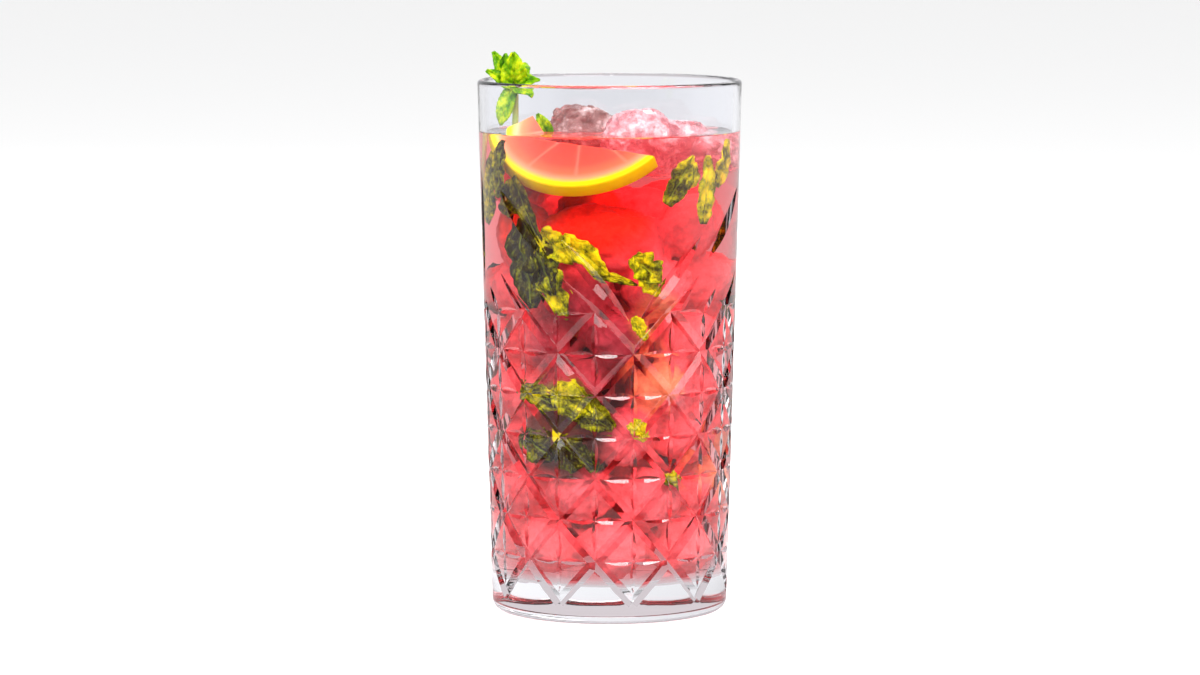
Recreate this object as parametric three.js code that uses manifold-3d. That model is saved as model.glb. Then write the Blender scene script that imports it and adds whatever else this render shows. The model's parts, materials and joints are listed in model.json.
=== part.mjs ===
// A glass of iced strawberry mojito: a tall pressed glass tumbler with a cut diamond and star
// pattern, filled with a red drink, broken ice, part of a slice of lemon and a sprig of mint.
// Millimetres, +Z up, the origin at the centre of the flat base, the front towards -Y.
import * as THREE from "three";
import { mergeVertices } from "three/addons/utils/BufferGeometryUtils.js";
import { ConvexGeometry } from "three/addons/geometries/ConvexGeometry.js";
import Module from "manifold-3d";

const wasm = await Module();
wasm.setup();

const { degToRad, lerp, smoothstep, euclideanModulo } = THREE.MathUtils;

// The tumbler
const GLASS_HEIGHT = 150;
const FOOT_RADIUS = 33.2;
const RIM_RADIUS = 37.2;
const FOOT_ROUND = 3.2;
const RIM_WALL = 2.1;
const CUT_WALL = 3.4;
const FLOOR_THICKNESS = 10.5;
const FLOOR_ROUND = 6;
const CUT_ZONE_TOP = 96;
const PLAIN_ZONE_BOTTOM = 124;
const GLASS_SIDES = 40;

// The cut pattern: columns go round the glass from its front seam, rows go up it
const COLUMNS = 20;
const COLUMN = degToRad(360 / COLUMNS);
const FRONT_SEAM = degToRad(11.2);
const FIRST_ROW = 6.2;
const ROW = 11.6;
const TOP_ROW = 7;
const CUT_HALF_ANGLE = degToRad(58);
const CUTTER_RISE = 1.2;
const GROOVE_DEPTH = 1.05;
const STAR_DEPTH = 0.65;
const STAR_REACH = 0.76;
const GROOVE_RUN_ON = 0.84;

// The crest over the pattern: ends of its cuts as [columns from the nearer seam, height]
const CREST_DEPTH = 1.3;
const LOW_LEAF = [[0.13, 85], [1.85, 107.8]];
const HIGH_LEAF = [[2.15, 101.5], [3.78, 120.5]];
const MIDDLE_LEAF = [[0, 93], [0, 126]];
const HALF_STAR_COLUMNS = [2, 4];
const HALF_STAR_HEIGHT = 86.4;
const HALF_STAR_TIPS = [[-0.8, 0.8], [0.48, 6.5], [0, -9]];

// The drink, and the gap between it and what stands in it
const DRINK_LEVEL = 135.3;
const DRINK_SIDES = 40;
const GAP = 0.3;

// Broken ice: each lump has a centre, half its size each way, and a seed for its uneven form
const ICE = {
  ice_left: { centre: [-7.5, 13, 133.2], half: [13, 12.5, 11], seed: 11 },
  ice_right: { centre: [8.5, -3.5, 133.2], half: [13, 11.5, 11.2], seed: 23 },
  ice_low: { centre: [22, 5, 130.5], half: [11, 15, 8.4], seed: 37 },
  ice_back: { centre: [9, 22, 131], half: [14, 9.5, 8.6], seed: 41 },
};
const ICE_POINTS = 36;
const ICE_UNEVENNESS = 0.22;
const SLOPE_ALLOWANCE = 1.3;

// The piece of a lemon slice leans back, its round edge down by the front wall. Its cut edge
// runs through these points of the slice, from the right end of its rind to the left end
const LEMON_CENTRE = [-6, -9, 138];
const LEMON_RADIUS = 23.5;
const LEMON_THICKNESS = 4.5;
const LEMON_CUT = [[20.5, -11.4], [-10.6, -5.6], [-16.8, 2.6], [-23.2, -2]];
const LEMON_EDGE_ROUND = 0.5;
const LEMON_TILT = degToRad(43);
const LEMON_TURN = degToRad(-17);

// The mint: a stem up the left wall, with leaves fanned out over the rim
const STEM_RADIUS = 0.9;
const STEM_ROUTE = [
  [-29, 3, 112],
  [-28, 4, 125],
  [-26.4, 4.5, 138],
  [-27, 4.2, 148],
];
const LEAF_THICKNESS = 0.6;
const LEAF_FOLD = 0.25;
const LEAF_WAVE = 0.35;
const LEAF_WAVES = 5;
// Each leaf has its root, its tip, its widest width, how far it bows, and which way its face looks
const SPRIG_LEAVES = [
  { root: [-27, 3.8, 146], tip: [-27.6, 1.2, 157.8], width: 7.4, bow: 0.8, face: [0.1, -1, 0.2] },
  { root: [-27.4, 4.6, 146], tip: [-29.4, 4.8, 157], width: 5, bow: 1, face: [-0.8, -0.6, 0] },
  { root: [-27.6, 4.8, 146.5], tip: [-32.8, 7, 157.4], width: 4.4, bow: 0.6, face: [0.3, -1, 0.3] },
  { root: [-27.4, 4, 146.8], tip: [-34.6, 2.2, 152.6], width: 3.6, bow: 0.8, face: [0, -0.8, 0.6] },
  { root: [-26.6, 4.2, 147], tip: [-19.6, 2.6, 149.6], width: 5, bow: 1.2, face: [0.2, -0.7, 0.8] },
  { root: [-26.8, 3.4, 146], tip: [-21.4, -1.6, 145], width: 4.2, bow: 0.8, face: [0, -0.5, 0.9] },
  { root: [-27.6, 3.8, 147], tip: [-31, 1.6, 137], width: 5, bow: 0.8, face: [-0.3, -1, 0] },
  { root: [-26.8, 4.6, 146.6], tip: [-23.4, 12.4, 153.6], width: 6.4, bow: 1.4, face: [0.3, 0.6, 1] },
];
const LOOSE_LEAF = {
  root: [-17, 3, 132.6], tip: [-20.4, 2, 140.2], width: 4.6, bow: 0.5, face: [0.2, -1, 0.2],
};

const GLASS_COLOUR = 0xe8eef2;
const DRINK_COLOUR = 0xe8323a;
const ICE_COLOUR = 0xf3d3d6;
const LEMON_COLOUR = 0xf2c21a;
const MINT_COLOUR = 0x63a81c;

// A closed geometry as a solid that can be joined and cut.
function solidOf(geometry) {
  const bare = geometry.clone();
  bare.deleteAttribute("normal");
  bare.deleteAttribute("uv");
  const merged = mergeVertices(bare, 1e-4);
  return new wasm.Manifold(
    new wasm.Mesh({
      numProp: 3,
      vertProperties: new Float32Array(merged.attributes.position.array),
      triVerts: new Uint32Array(merged.index.array),
    }),
  );
}

// A solid back as a geometry.
function geometryOf(solid) {
  const mesh = solid.getMesh();
  const geometry = new THREE.BufferGeometry();
  geometry.setAttribute("position", new THREE.BufferAttribute(mesh.vertProperties, 3));
  geometry.setIndex(new THREE.BufferAttribute(mesh.triVerts, 1));
  geometry.computeVertexNormals();
  return geometry;
}

// A geometry with no shared vertices, from a flat list of its triangles' points.
function geometryOfTriangles(points) {
  const geometry = new THREE.BufferGeometry();
  geometry.setAttribute("position", new THREE.Float32BufferAttribute(points.flatMap((p) => [...p]), 3));
  return geometry;
}

// Points of a rounded corner about a centre, from one angle to another, in degrees.
function corner(x, z, radius, from, to, steps) {
  const points = [];
  for (let i = 0; i <= steps; i++) {
    const angle = degToRad(lerp(from, to, i / steps));
    points.push(new THREE.Vector2(x + radius * Math.cos(angle), z + radius * Math.sin(angle)));
  }
  return points;
}

// A profile of (radius, height) points turned about Z, with a side's edge on the front seam.
function turned(profile, sides) {
  return new THREE.LatheGeometry(profile, sides).rotateX(Math.PI / 2).rotateZ(FRONT_SEAM);
}

const outerRadius = (z) => lerp(FOOT_RADIUS, RIM_RADIUS, z / GLASS_HEIGHT);

// The wall is thicker where it is cut, and thins to the plain band above.
function innerRadius(z) {
  const thinned = smoothstep(z, CUT_ZONE_TOP, PLAIN_ZONE_BOTTOM);
  return outerRadius(z) - lerp(CUT_WALL, RIM_WALL, thinned);
}

// The inside of the glass from the middle of its floor up to a height, drawn in by a gap.
function insideProfile(top, gap) {
  const floor = FLOOR_THICKNESS + gap;
  const roundX = innerRadius(FLOOR_THICKNESS + FLOOR_ROUND) - gap - FLOOR_ROUND;
  const points = [new THREE.Vector2(0, floor)];
  points.push(...corner(roundX, floor + FLOOR_ROUND, FLOOR_ROUND, -90, -5, 4));
  const steps = [CUT_ZONE_TOP, (CUT_ZONE_TOP + PLAIN_ZONE_BOTTOM) / 2, PLAIN_ZONE_BOTTOM, top];
  for (const z of steps) points.push(new THREE.Vector2(innerRadius(z) - gap, z));
  return points;
}

// A point on the outside of the glass, moved in by a depth.
function onGlass(column, z, depth = 0) {
  const angle = FRONT_SEAM + column * COLUMN;
  const radius = outerRadius(z) - depth;
  return new THREE.Vector3(radius * Math.sin(angle), -radius * Math.cos(angle), z);
}

// A V-shaped cutter whose edge follows a path of [column, height, depth] over the glass.
function vCutter(path) {
  const rings = path.map(([column, z, depth], i) => {
    const before = path[Math.max(i - 1, 0)];
    const after = path[Math.min(i + 1, path.length - 1)];
    const along = onGlass(after[0], after[1]).sub(onGlass(before[0], before[1]));
    const outwards = onGlass(column, z).setZ(0).normalize();
    const side = along.cross(outwards).normalize();
    const spread = (depth + CUTTER_RISE) * Math.tan(CUT_HALF_ANGLE);
    const above = onGlass(column, z, -CUTTER_RISE);
    return [
      onGlass(column, z, depth),
      above.clone().addScaledVector(side, spread),
      above.clone().addScaledVector(side, -spread),
    ];
  });
  const points = [...rings[0]];
  for (let i = 1; i < rings.length; i++)
    for (let j = 0; j < 3; j++) {
      const [a, b] = [rings[i - 1][j], rings[i - 1][(j + 1) % 3]];
      const [c, d] = [rings[i][j], rings[i][(j + 1) % 3]];
      points.push(a, c, b, b, c, d);
    }
  points.push(...rings.at(-1).toReversed());
  return solidOf(geometryOfTriangles(points));
}

// A leaf-shaped cut between two [column, height] ends, deepest at a share of its length.
function leafCut(from, to, depth, deepest = 0.5, steps = 2) {
  const path = [];
  for (let i = 0; i <= steps; i++) {
    const along = i / steps;
    const away = along < deepest ? (deepest - along) / deepest : (along - deepest) / (1 - deepest);
    path.push([lerp(from[0], to[0], along), lerp(from[1], to[1], along), depth * (1 - away * away)]);
  }
  return vCutter(path);
}

const rowHeight = (row) => FIRST_ROW + row * ROW;

// The diagonal grooves, one up to the left and one up to the right from each bottom point.
// The two beside each seam that lean away from it run on past the top row to a point.
function diagonalGrooves() {
  const cutters = [];
  for (let start = 0; start < COLUMNS; start += 2)
    for (const lean of [-1, 1]) {
      const path = [];
      for (let row = 0; row <= TOP_ROW; row++)
        path.push([start + lean * row, rowHeight(row), GROOVE_DEPTH]);
      const top = start + lean * TOP_ROW;
      const awayFromSeam = euclideanModulo(lean * top, COLUMNS / 2);
      if (awayFromSeam < COLUMNS / 4)
        path.push([top + lean * GROOVE_RUN_ON, rowHeight(TOP_ROW + GROOVE_RUN_ON), 0]);
      cutters.push(vCutter(path));
    }
  return cutters;
}

// A level and an upright leaf cut that cross in the middle of each diamond.
function stars() {
  const cutters = [];
  for (let row = 1; row < TOP_ROW; row++)
    for (let column = (row + 1) % 2; column < COLUMNS; column += 2) {
      const z = rowHeight(row);
      const rise = STAR_REACH * ROW;
      cutters.push(leafCut([column - STAR_REACH, z], [column + STAR_REACH, z], STAR_DEPTH));
      cutters.push(leafCut([column, z - rise], [column, z + rise], STAR_DEPTH));
    }
  return cutters;
}

// The crest over the top row: long leaf cuts and half stars that climb from each of the two
// seams, front and back, to an upright cut half way round to the other.
function crest() {
  const cutters = [];
  const middle = 0.5;
  for (const seam of [0, COLUMNS / 2])
    for (const way of [-1, 1]) {
      const at = ([columns, z]) => [seam + way * columns, z];
      for (const [from, to] of [LOW_LEAF, HIGH_LEAF])
        cutters.push(leafCut(at(from), at(to), CREST_DEPTH, middle, 4));
      for (const columns of HALF_STAR_COLUMNS)
        for (const [aside, rise] of HALF_STAR_TIPS) {
          const centre = at([columns, HALF_STAR_HEIGHT]);
          const tip = at([columns + aside, HALF_STAR_HEIGHT + rise]);
          cutters.push(leafCut(centre, tip, STAR_DEPTH, 0));
        }
    }
  for (const quarter of [COLUMNS / 4, (3 * COLUMNS) / 4]) {
    const [low, high] = MIDDLE_LEAF.map(([columns, z]) => [quarter + columns, z]);
    cutters.push(leafCut(low, high, CREST_DEPTH, middle, 4));
  }
  return cutters;
}

function glassSolid() {
  const lip = RIM_WALL / 2;
  const profile = [new THREE.Vector2(0, 0)];
  profile.push(...corner(FOOT_RADIUS - FOOT_ROUND, FOOT_ROUND, FOOT_ROUND, -90, 0, 4));
  profile.push(new THREE.Vector2(outerRadius(PLAIN_ZONE_BOTTOM), PLAIN_ZONE_BOTTOM));
  profile.push(...corner(RIM_RADIUS - lip, GLASS_HEIGHT - lip, lip, 0, 180, 6));
  profile.push(...insideProfile(PLAIN_ZONE_BOTTOM, 0).slice(0, -1).reverse());
  const blank = solidOf(turned(profile, GLASS_SIDES));
  return blank.subtract(wasm.Manifold.union([...diagonalGrooves(), ...stars(), ...crest()]));
}

// The same uneven numbers from 0 to 1 each time, for one seed.
function unevenNumbers(seed) {
  let state = seed;
  return () => {
    state = (state * 16807) % 2147483647;
    return state / 2147483647;
  };
}

// A lump of ice: the hull of points spread evenly over an ellipsoid and then pushed in or out.
function iceLump({ centre, half, seed }, gap = 0) {
  const random = unevenNumbers(seed);
  const goldenAngle = Math.PI * (3 - Math.sqrt(5));
  const points = [];
  for (let i = 0; i < ICE_POINTS; i++) {
    const z = 1 - (2 * i + 1) / ICE_POINTS;
    const angle = i * goldenAngle;
    const direction = new THREE.Vector3(Math.cos(angle), Math.sin(angle), 0);
    direction.multiplyScalar(Math.sqrt(1 - z * z)).setZ(z);
    const reach = 1 + ICE_UNEVENNESS * (random() - 1);
    const wider = new THREE.Vector3(...half).multiplyScalar(reach).addScalar(gap * SLOPE_ALLOWANCE);
    points.push(direction.multiply(wider).add(new THREE.Vector3(...centre)));
  }
  return solidOf(new ConvexGeometry(points));
}

// The lower part of a slice, with one corner of it left standing at the left.
function lemonSlice(gap = 0) {
  const round = LEMON_EDGE_ROUND;
  const [rightEnd, ...others] = LEMON_CUT;
  const leftEnd = others.at(-1);
  const angleOf = ([x, y]) => Math.atan2(y, x);
  const outline = new THREE.Shape();
  outline.absarc(0, 0, LEMON_RADIUS - round, angleOf(leftEnd), angleOf(rightEnd) + 2 * Math.PI, false);
  for (const point of others.slice(0, -1)) outline.lineTo(...point);
  outline.closePath();
  const slice = new THREE.ExtrudeGeometry(outline, {
    depth: LEMON_THICKNESS - 2 * round,
    bevelThickness: round + gap,
    bevelSize: round + gap,
    bevelSegments: 1,
    curveSegments: 20,
  });
  slice.translate(0, 0, round - LEMON_THICKNESS);
  slice.rotateX(LEMON_TILT).rotateZ(LEMON_TURN);
  return solidOf(slice.translate(...LEMON_CENTRE));
}

function mintStem(gap = 0) {
  const section = new THREE.Shape();
  section.absarc(0, 0, STEM_RADIUS + gap, 0, 2 * Math.PI);
  const route = STEM_ROUTE.map((point) => new THREE.Vector3(...point));
  if (gap > 0) route.unshift(route[0].clone().add(new THREE.Vector3(0, 0, -gap)));
  const extrudePath = new THREE.CatmullRomCurve3(route);
  return solidOf(new THREE.ExtrudeGeometry(section, { extrudePath, steps: 12, curveSegments: 4 }));
}

// A thin leaf, bowed along its length, folded a little along its middle and waved at its edges.
function mintLeaf({ root, tip, width, bow, face }, gap = 0) {
  const from = new THREE.Vector3(...root);
  const along = new THREE.Vector3(...tip).sub(from);
  const length = along.length() + gap;
  along.normalize();
  const side = new THREE.Vector3().crossVectors(along, new THREE.Vector3(...face)).normalize();
  const up = new THREE.Vector3().crossVectors(side, along);
  const halfThickness = LEAF_THICKNESS / 2 + gap;
  const [steps, across] = [5, 4];
  const at = (i, j, way) => {
    const t = i / steps;
    const share = (2 * j) / across - 1;
    const halfWidth = (width / 2) * Math.sin(Math.PI * (0.06 + 0.9 * t) ** 0.85) + gap;
    const fold = LEAF_FOLD * Math.abs(share) * halfWidth;
    const wave = LEAF_WAVE * share * Math.sin(LEAF_WAVES * t + share) * Math.sin(Math.PI * t);
    const height = bow * Math.sin(Math.PI * t) + fold + wave + way * halfThickness;
    return from.clone()
      .addScaledVector(along, t * length - gap)
      .addScaledVector(side, share * halfWidth)
      .addScaledVector(up, height);
  };
  const points = [];
  const square = (a, b, c, d) => points.push(a, b, c, a, c, d);
  for (let i = 0; i < steps; i++)
    for (let j = 0; j < across; j++) {
      square(at(i, j, 1), at(i, j + 1, 1), at(i + 1, j + 1, 1), at(i + 1, j, 1));
      square(at(i, j, -1), at(i + 1, j, -1), at(i + 1, j + 1, -1), at(i, j + 1, -1));
    }
  for (let i = 0; i < steps; i++)
    for (const [j, way] of [[0, 1], [across, -1]])
      square(at(i, j, -way), at(i, j, way), at(i + 1, j, way), at(i + 1, j, -way));
  for (let j = 0; j < across; j++)
    for (const [i, way] of [[0, -1], [steps, 1]])
      square(at(i, j, -way), at(i, j, way), at(i, j + 1, way), at(i, j + 1, -way));
  return solidOf(geometryOfTriangles(points));
}

// The lumps of ice, each cut back from the lemon, the mint and the lumps before it.
function iceSolids(keepClearOf) {
  const solids = {};
  let taken = keepClearOf;
  for (const [name, lump] of Object.entries(ICE)) {
    solids[name] = iceLump(lump).subtract(taken);
    taken = taken.add(iceLump(lump, GAP));
  }
  return { solids, taken };
}

const part = new THREE.Group();
function add(name, solid, color, roughness) {
  const material = new THREE.MeshStandardMaterial({ color, roughness, metalness: 0 });
  const mesh = new THREE.Mesh(geometryOf(solid), material);
  mesh.name = name;
  part.add(mesh);
}

const sprig = SPRIG_LEAVES.reduce((joined, leaf) => joined.add(mintLeaf(leaf)), mintStem());
const { solids: ice, taken } = iceSolids(
  wasm.Manifold.union([lemonSlice(GAP), mintStem(GAP), mintLeaf(LOOSE_LEAF, GAP)]),
);
const drinkBlank = solidOf(
  turned([...insideProfile(DRINK_LEVEL, GAP), new THREE.Vector2(0, DRINK_LEVEL)], DRINK_SIDES),
);

add("glass", glassSolid(), GLASS_COLOUR, 0.05);
add("drink", drinkBlank.subtract(taken), DRINK_COLOUR, 0.15);
for (const [name, solid] of Object.entries(ice)) add(name, solid, ICE_COLOUR, 0.2);
add("lemon_slice", lemonSlice(), LEMON_COLOUR, 0.45);
add("mint_sprig", sprig, MINT_COLOUR, 0.5);
add("mint_leaf", mintLeaf(LOOSE_LEAF), MINT_COLOUR, 0.5);

export default part;
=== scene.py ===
"""A glass of iced strawberry mojito: a pressed glass tumbler with a cut diamond and star pattern, a clear
red drink, broken ice, lemon and mint. Sizes are in metres, and tables of places are in millimetres."""

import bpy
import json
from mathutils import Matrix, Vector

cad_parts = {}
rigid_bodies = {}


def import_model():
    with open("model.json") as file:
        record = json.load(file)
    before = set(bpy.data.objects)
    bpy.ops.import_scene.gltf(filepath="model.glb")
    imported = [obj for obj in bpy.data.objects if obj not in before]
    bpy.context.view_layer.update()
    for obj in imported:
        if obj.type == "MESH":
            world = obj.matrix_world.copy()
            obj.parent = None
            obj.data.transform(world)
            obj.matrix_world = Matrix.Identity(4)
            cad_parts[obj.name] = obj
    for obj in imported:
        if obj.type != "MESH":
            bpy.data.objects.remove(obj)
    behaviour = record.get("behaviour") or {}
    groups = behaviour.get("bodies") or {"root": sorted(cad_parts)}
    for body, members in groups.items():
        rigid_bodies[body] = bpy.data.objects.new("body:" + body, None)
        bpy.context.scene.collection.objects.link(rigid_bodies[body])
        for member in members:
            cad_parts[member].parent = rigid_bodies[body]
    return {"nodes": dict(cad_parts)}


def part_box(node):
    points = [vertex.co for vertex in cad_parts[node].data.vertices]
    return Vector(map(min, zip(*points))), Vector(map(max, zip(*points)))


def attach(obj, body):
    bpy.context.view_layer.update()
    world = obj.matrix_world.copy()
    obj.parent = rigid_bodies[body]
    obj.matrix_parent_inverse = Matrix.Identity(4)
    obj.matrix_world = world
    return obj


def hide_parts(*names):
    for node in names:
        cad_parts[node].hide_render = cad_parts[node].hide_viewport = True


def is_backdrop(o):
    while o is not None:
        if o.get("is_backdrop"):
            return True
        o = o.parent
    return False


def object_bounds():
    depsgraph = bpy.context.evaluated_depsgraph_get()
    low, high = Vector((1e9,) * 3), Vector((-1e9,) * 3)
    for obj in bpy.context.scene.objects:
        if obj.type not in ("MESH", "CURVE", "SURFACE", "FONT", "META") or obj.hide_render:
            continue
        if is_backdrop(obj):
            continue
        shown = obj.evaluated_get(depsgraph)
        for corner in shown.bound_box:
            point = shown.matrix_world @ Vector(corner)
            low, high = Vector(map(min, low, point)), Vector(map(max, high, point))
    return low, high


bl_info = {
    "name": "Glass of Mojito",
    "version": (1, 0, 0),
    "blender": (4, 5, 0),
    "location": "View3D > Sidebar > Mojito",
    "description": "Makes a cut glass tumbler of red mojito with ice, lemon and mint",
    "category": "Add Mesh",
}

import json
import math
import random

import bmesh
import bpy
from mathutils import Matrix, Vector, noise

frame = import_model()
CAD_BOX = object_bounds()
GLASS_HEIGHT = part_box("glass")[1][2]
DRINK_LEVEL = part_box("drink")[1][2]

MM = 0.001
# Corners nearer than this are merged, in metres
MERGE = 1e-6
BODY = "root"

# The cut pattern: columns go round the glass from its front seam, rows go up it
COLUMNS = 20
COLUMN = math.radians(360 / COLUMNS)
FRONT_SEAM = math.radians(11.2)
FIRST_ROW = 6.2
ROW = 11.6
TOP_ROW = 7
# Half the angle of the V that cuts, and how far the cutter stands out of the glass
CUT_HALF_ANGLE = math.radians(58)
CUTTER_RISE = 1.2
# A star's leaf cut: its reach in columns or rows, and the share of its length where it is deepest
STAR_REACH = 0.78
STAR_DEEPEST = 0.38
HALF_STAR_DEEPEST = 0.35

# The wall: its thick cut part, its thin plain part, the round corner of the floor inside, and the
# heights at which its inside has a ring of corners
CUT_ZONE_TOP = 96
PLAIN_ZONE_BOTTOM = 124
FLOOR_ROUND = 2.5
WALL_HEIGHTS = (40, 70, CUT_ZONE_TOP, 103, 110, 117, PLAIN_ZONE_BOTTOM, 132)

# How strongly each clear stuff bends light
GLASS_BENDING = 1.5
DRINK_BENDING = 1.33
ICE_BENDING = 1.31

# The crest over the pattern: ends of its cuts as (columns from the nearer seam, height)
CREST_LEAVES = [((0.13, 85), (1.85, 107.8)), ((2.15, 101.5), (3.78, 120.5))]
MIDDLE_LEAF = ((0, 93), (0, 126))
HALF_STAR_COLUMNS = (2, 4)
HALF_STAR_HEIGHT = 86.4
HALF_STAR_TIPS = [(-0.85, 0.8), (0.48, 6.5), (0, -9)]

# The piece of lemon: where its centre lies, how it tilts and turns, and the points of the slice
# that its cut edge runs through, from the right end of its rind to the left end
LEMON_CENTRE = (-6, -9, 138)
LEMON_TILT = math.radians(43)
LEMON_TURN = math.radians(-17)
LEMON_CUT = [(20.5, -11.4), (-10.6, -5.6), (-16.8, 2.6), (-23.2, -2)]
LEMON_SEGMENTS = 9

# The mint over the rim: root, tip, width, bow, the way the leaf's face looks, and its freshness
# from 0, dark and bruised, to 1, yellow-green
STEM_ROUTE = [(-29, 3, 112), (-28, 4, 125), (-26.4, 4.5, 138), (-27, 4.2, 148)]
SPRIG_LEAVES = [
    ((-27, 3.8, 146), (-27.2, 1.2, 157.6), 7.6, 0.8, (0.1, -1, 0.2), 0.85),
    ((-27.4, 4.6, 146), (-29.4, 4.8, 157), 5.4, 1, (-0.8, -0.6, 0), 0.3),
    ((-27.6, 4.8, 146.5), (-32.8, 7, 157.4), 5, 0.6, (0.3, -1, 0.3), 0.62),
    ((-27.4, 4, 146.8), (-34.6, 2.2, 152.6), 4.2, 0.8, (0, -0.8, 0.6), 0.5),
    ((-26.6, 4.2, 147), (-19.6, 2.6, 149.6), 5.4, 1.2, (0.2, -0.7, 0.8), 0.6),
    ((-26.8, 3.4, 146), (-21.4, -1.6, 145), 4.6, 0.8, (0, -0.5, 0.9), 0.7),
    ((-27.6, 3.8, 147), (-31, 1.6, 137), 5.4, 0.8, (-0.3, -1, 0), 0.72),
    ((-26.8, 4.6, 146.6), (-23.4, 12.4, 153.6), 6.4, 1.4, (0.3, 0.6, 1), 0.55),
]
LOOSE_LEAF = ((-17, 3, 132.6), (-20.4, 2, 140.2), 4.6, 0.5, (0.2, -1, 0.2), 0.7)

# Leaves sunk in the drink by the wall: angle and height of root and of tip, distance from the
# glass's axis, width and freshness
SUNK_LEAVES = [
    (-66, 118, -60, 134, 31.5, 8, 0.42),
    (-78, 110, -72, 131, 31, 9, 0.55),
    (-60, 113, -53, 124, 30, 8, 0.3),
    (-53, 124, -34, 104, 31.2, 5, 0.28),
    (-50, 112, -40, 88, 30.5, 11, 0.1),
    (-42, 108, -27, 92, 31, 10, 0.2),
    (-38, 104, -22, 85, 31.6, 8, 0.66),
    (-36, 109, -16, 101, 31.2, 8, 0.72),
    (-24, 108, 0, 98, 31.8, 6.5, 0.85),
    (-12, 99, 14, 95, 31.4, 2.6, 0.6),
    (12, 103, 25, 95, 31.6, 8, 0.62),
    (15, 98, 24, 92, 31, 5, 0.9),
    (12, 86, 18, 80, 31.8, 3.6, 0.8),
    (28, 117, 44, 130, 31.4, 7, 0.42),
    (40, 121, 46, 128, 31.6, 4, 0.7),
    (50, 111, 53, 130, 31.8, 7, 0.75),
    (62, 121, 72, 134, 31, 6, 0.62),
    (-52, 66, -26, 60, 31.2, 8, 0.5),
    (-30, 66, -8, 58, 31.4, 9, 0.62),
    (-22, 62, 2, 55, 31, 8, 0.45),
    (-50, 52, -30, 46, 30.6, 9, 0.2),
    (-32, 54, -24, 50, 31.8, 3, 1.0),
    (-30, 50, -6, 44, 30.6, 9, 0.18),
    (12, 57, 20, 52, 31.8, 4.5, 0.8),
    (30, 42, 40, 37, 31.8, 4.5, 0.6),
    (128, 100, 142, 84, 31.4, 10, 0.5),
    (120, 96, 138, 80, 31, 11, 0.35),
    (150, 92, 165, 76, 31.4, 9, 0.65),
    (175, 100, 195, 88, 31, 10, 0.3),
    (205, 126, 222, 110, 31.4, 9, 0.6),
    (235, 108, 250, 92, 31, 10, 0.4),
    (140, 66, 160, 54, 31, 9, 0.5),
    (225, 60, 245, 48, 31, 9, 0.35),
]


def radius_out(z):
    """The outside radius at a height, both in millimetres."""
    glass = bpy.context.scene.mojito_glass
    share = z * MM / glass.height
    return (glass.foot_radius + (glass.rim_radius - glass.foot_radius) * share) / MM


def radius_in(z):
    """The inside radius at a height. The wall is thicker where it is cut."""
    glass = bpy.context.scene.mojito_glass
    share = min(max((z - CUT_ZONE_TOP) / (PLAIN_ZONE_BOTTOM - CUT_ZONE_TOP), 0), 1)
    thinned = share * share * (3 - 2 * share)
    wall = glass.cut_wall + (glass.rim_wall - glass.cut_wall) * thinned
    return radius_out(z) - wall / MM


def corner(x, z, radius, start, end, steps):
    """Points of a rounded corner about a centre, from one angle to another, in degrees."""
    angles = [math.radians(start + (end - start) * i / steps) for i in range(steps + 1)]
    return [(x + radius * math.cos(a), z + radius * math.sin(a)) for a in angles]


def around(angle, radius, z):
    """A point at an angle in degrees from the front, a distance from the axis and a height."""
    turn = math.radians(angle)
    return Vector((radius * math.sin(turn), -radius * math.cos(turn), z))


def face_outwards(bm):
    """Turns a closed mesh's faces out."""
    bmesh.ops.recalc_face_normals(bm, faces=bm.faces)
    if bm.calc_volume(signed=True) < 0:
        bmesh.ops.reverse_faces(bm, faces=bm.faces)


def turned(profile, steps):
    """A closed shape spun about Z from (radius, height) points in millimetres."""
    bm = bmesh.new()
    verts = [bm.verts.new((x, 0, z)) for x, z in profile]
    edges = [bm.edges.new(pair) for pair in zip(verts, verts[1:])]
    bmesh.ops.spin(
        bm, geom=verts + edges, cent=(0, 0, 0), axis=(0, 0, 1), dvec=(0, 0, 0),
        angle=2 * math.pi, steps=steps, use_merge=True,
    )
    bmesh.ops.remove_doubles(bm, verts=bm.verts, dist=MERGE / MM)
    face_outwards(bm)
    return bm


def to_object(bm, name, material=None, smooth_angle=30):
    """Makes a bmesh in millimetres an object in metres, smooth up to an angle in degrees."""
    bmesh.ops.scale(bm, vec=(MM, MM, MM), verts=bm.verts)
    mesh = bpy.data.meshes.new(name)
    bm.to_mesh(mesh)
    bm.free()
    mesh.shade_smooth()
    mesh.set_sharp_from_angle(angle=math.radians(smooth_angle))
    if material:
        mesh.materials.append(material)
    piece = bpy.data.objects.new(name, mesh)
    bpy.context.scene.collection.objects.link(piece)
    return piece


def apply_modifiers(piece):
    """Makes what a piece's modifiers show its own mesh."""
    graph = bpy.context.evaluated_depsgraph_get()
    graph.update()
    mesh = bpy.data.meshes.new_from_object(piece.evaluated_get(graph))
    piece.modifiers.clear()
    old = piece.data
    piece.data = mesh
    mesh.name = old.name
    bpy.data.meshes.remove(old)
    return piece


def in_body(piece, slot, *nodes):
    """Fixes a piece to the object and hides the CAD nodes that it stands for. Its finish is not used."""
    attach(piece, BODY)
    if nodes:
        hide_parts(*nodes)
    return piece


def new_material(name):
    """An empty node material, and its node tree."""
    material = bpy.data.materials.new(name)
    material.use_nodes = True
    material.node_tree.nodes.clear()
    return material, material.node_tree


def feed(tree, socket, value):
    """Links an output to an input, or else sets the input's own value."""
    if isinstance(value, bpy.types.NodeSocket):
        tree.links.new(value, socket)
    else:
        socket.default_value = value


def add_node(tree, kind, **values):
    """A node with its own settings, and its inputs by their names with _ for a space."""
    node = tree.nodes.new(kind)
    for key, value in values.items():
        if hasattr(node, key):
            setattr(node, key, value)
        else:
            feed(tree, node.inputs[key.replace("_", " ")], value)
    return node


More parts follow.
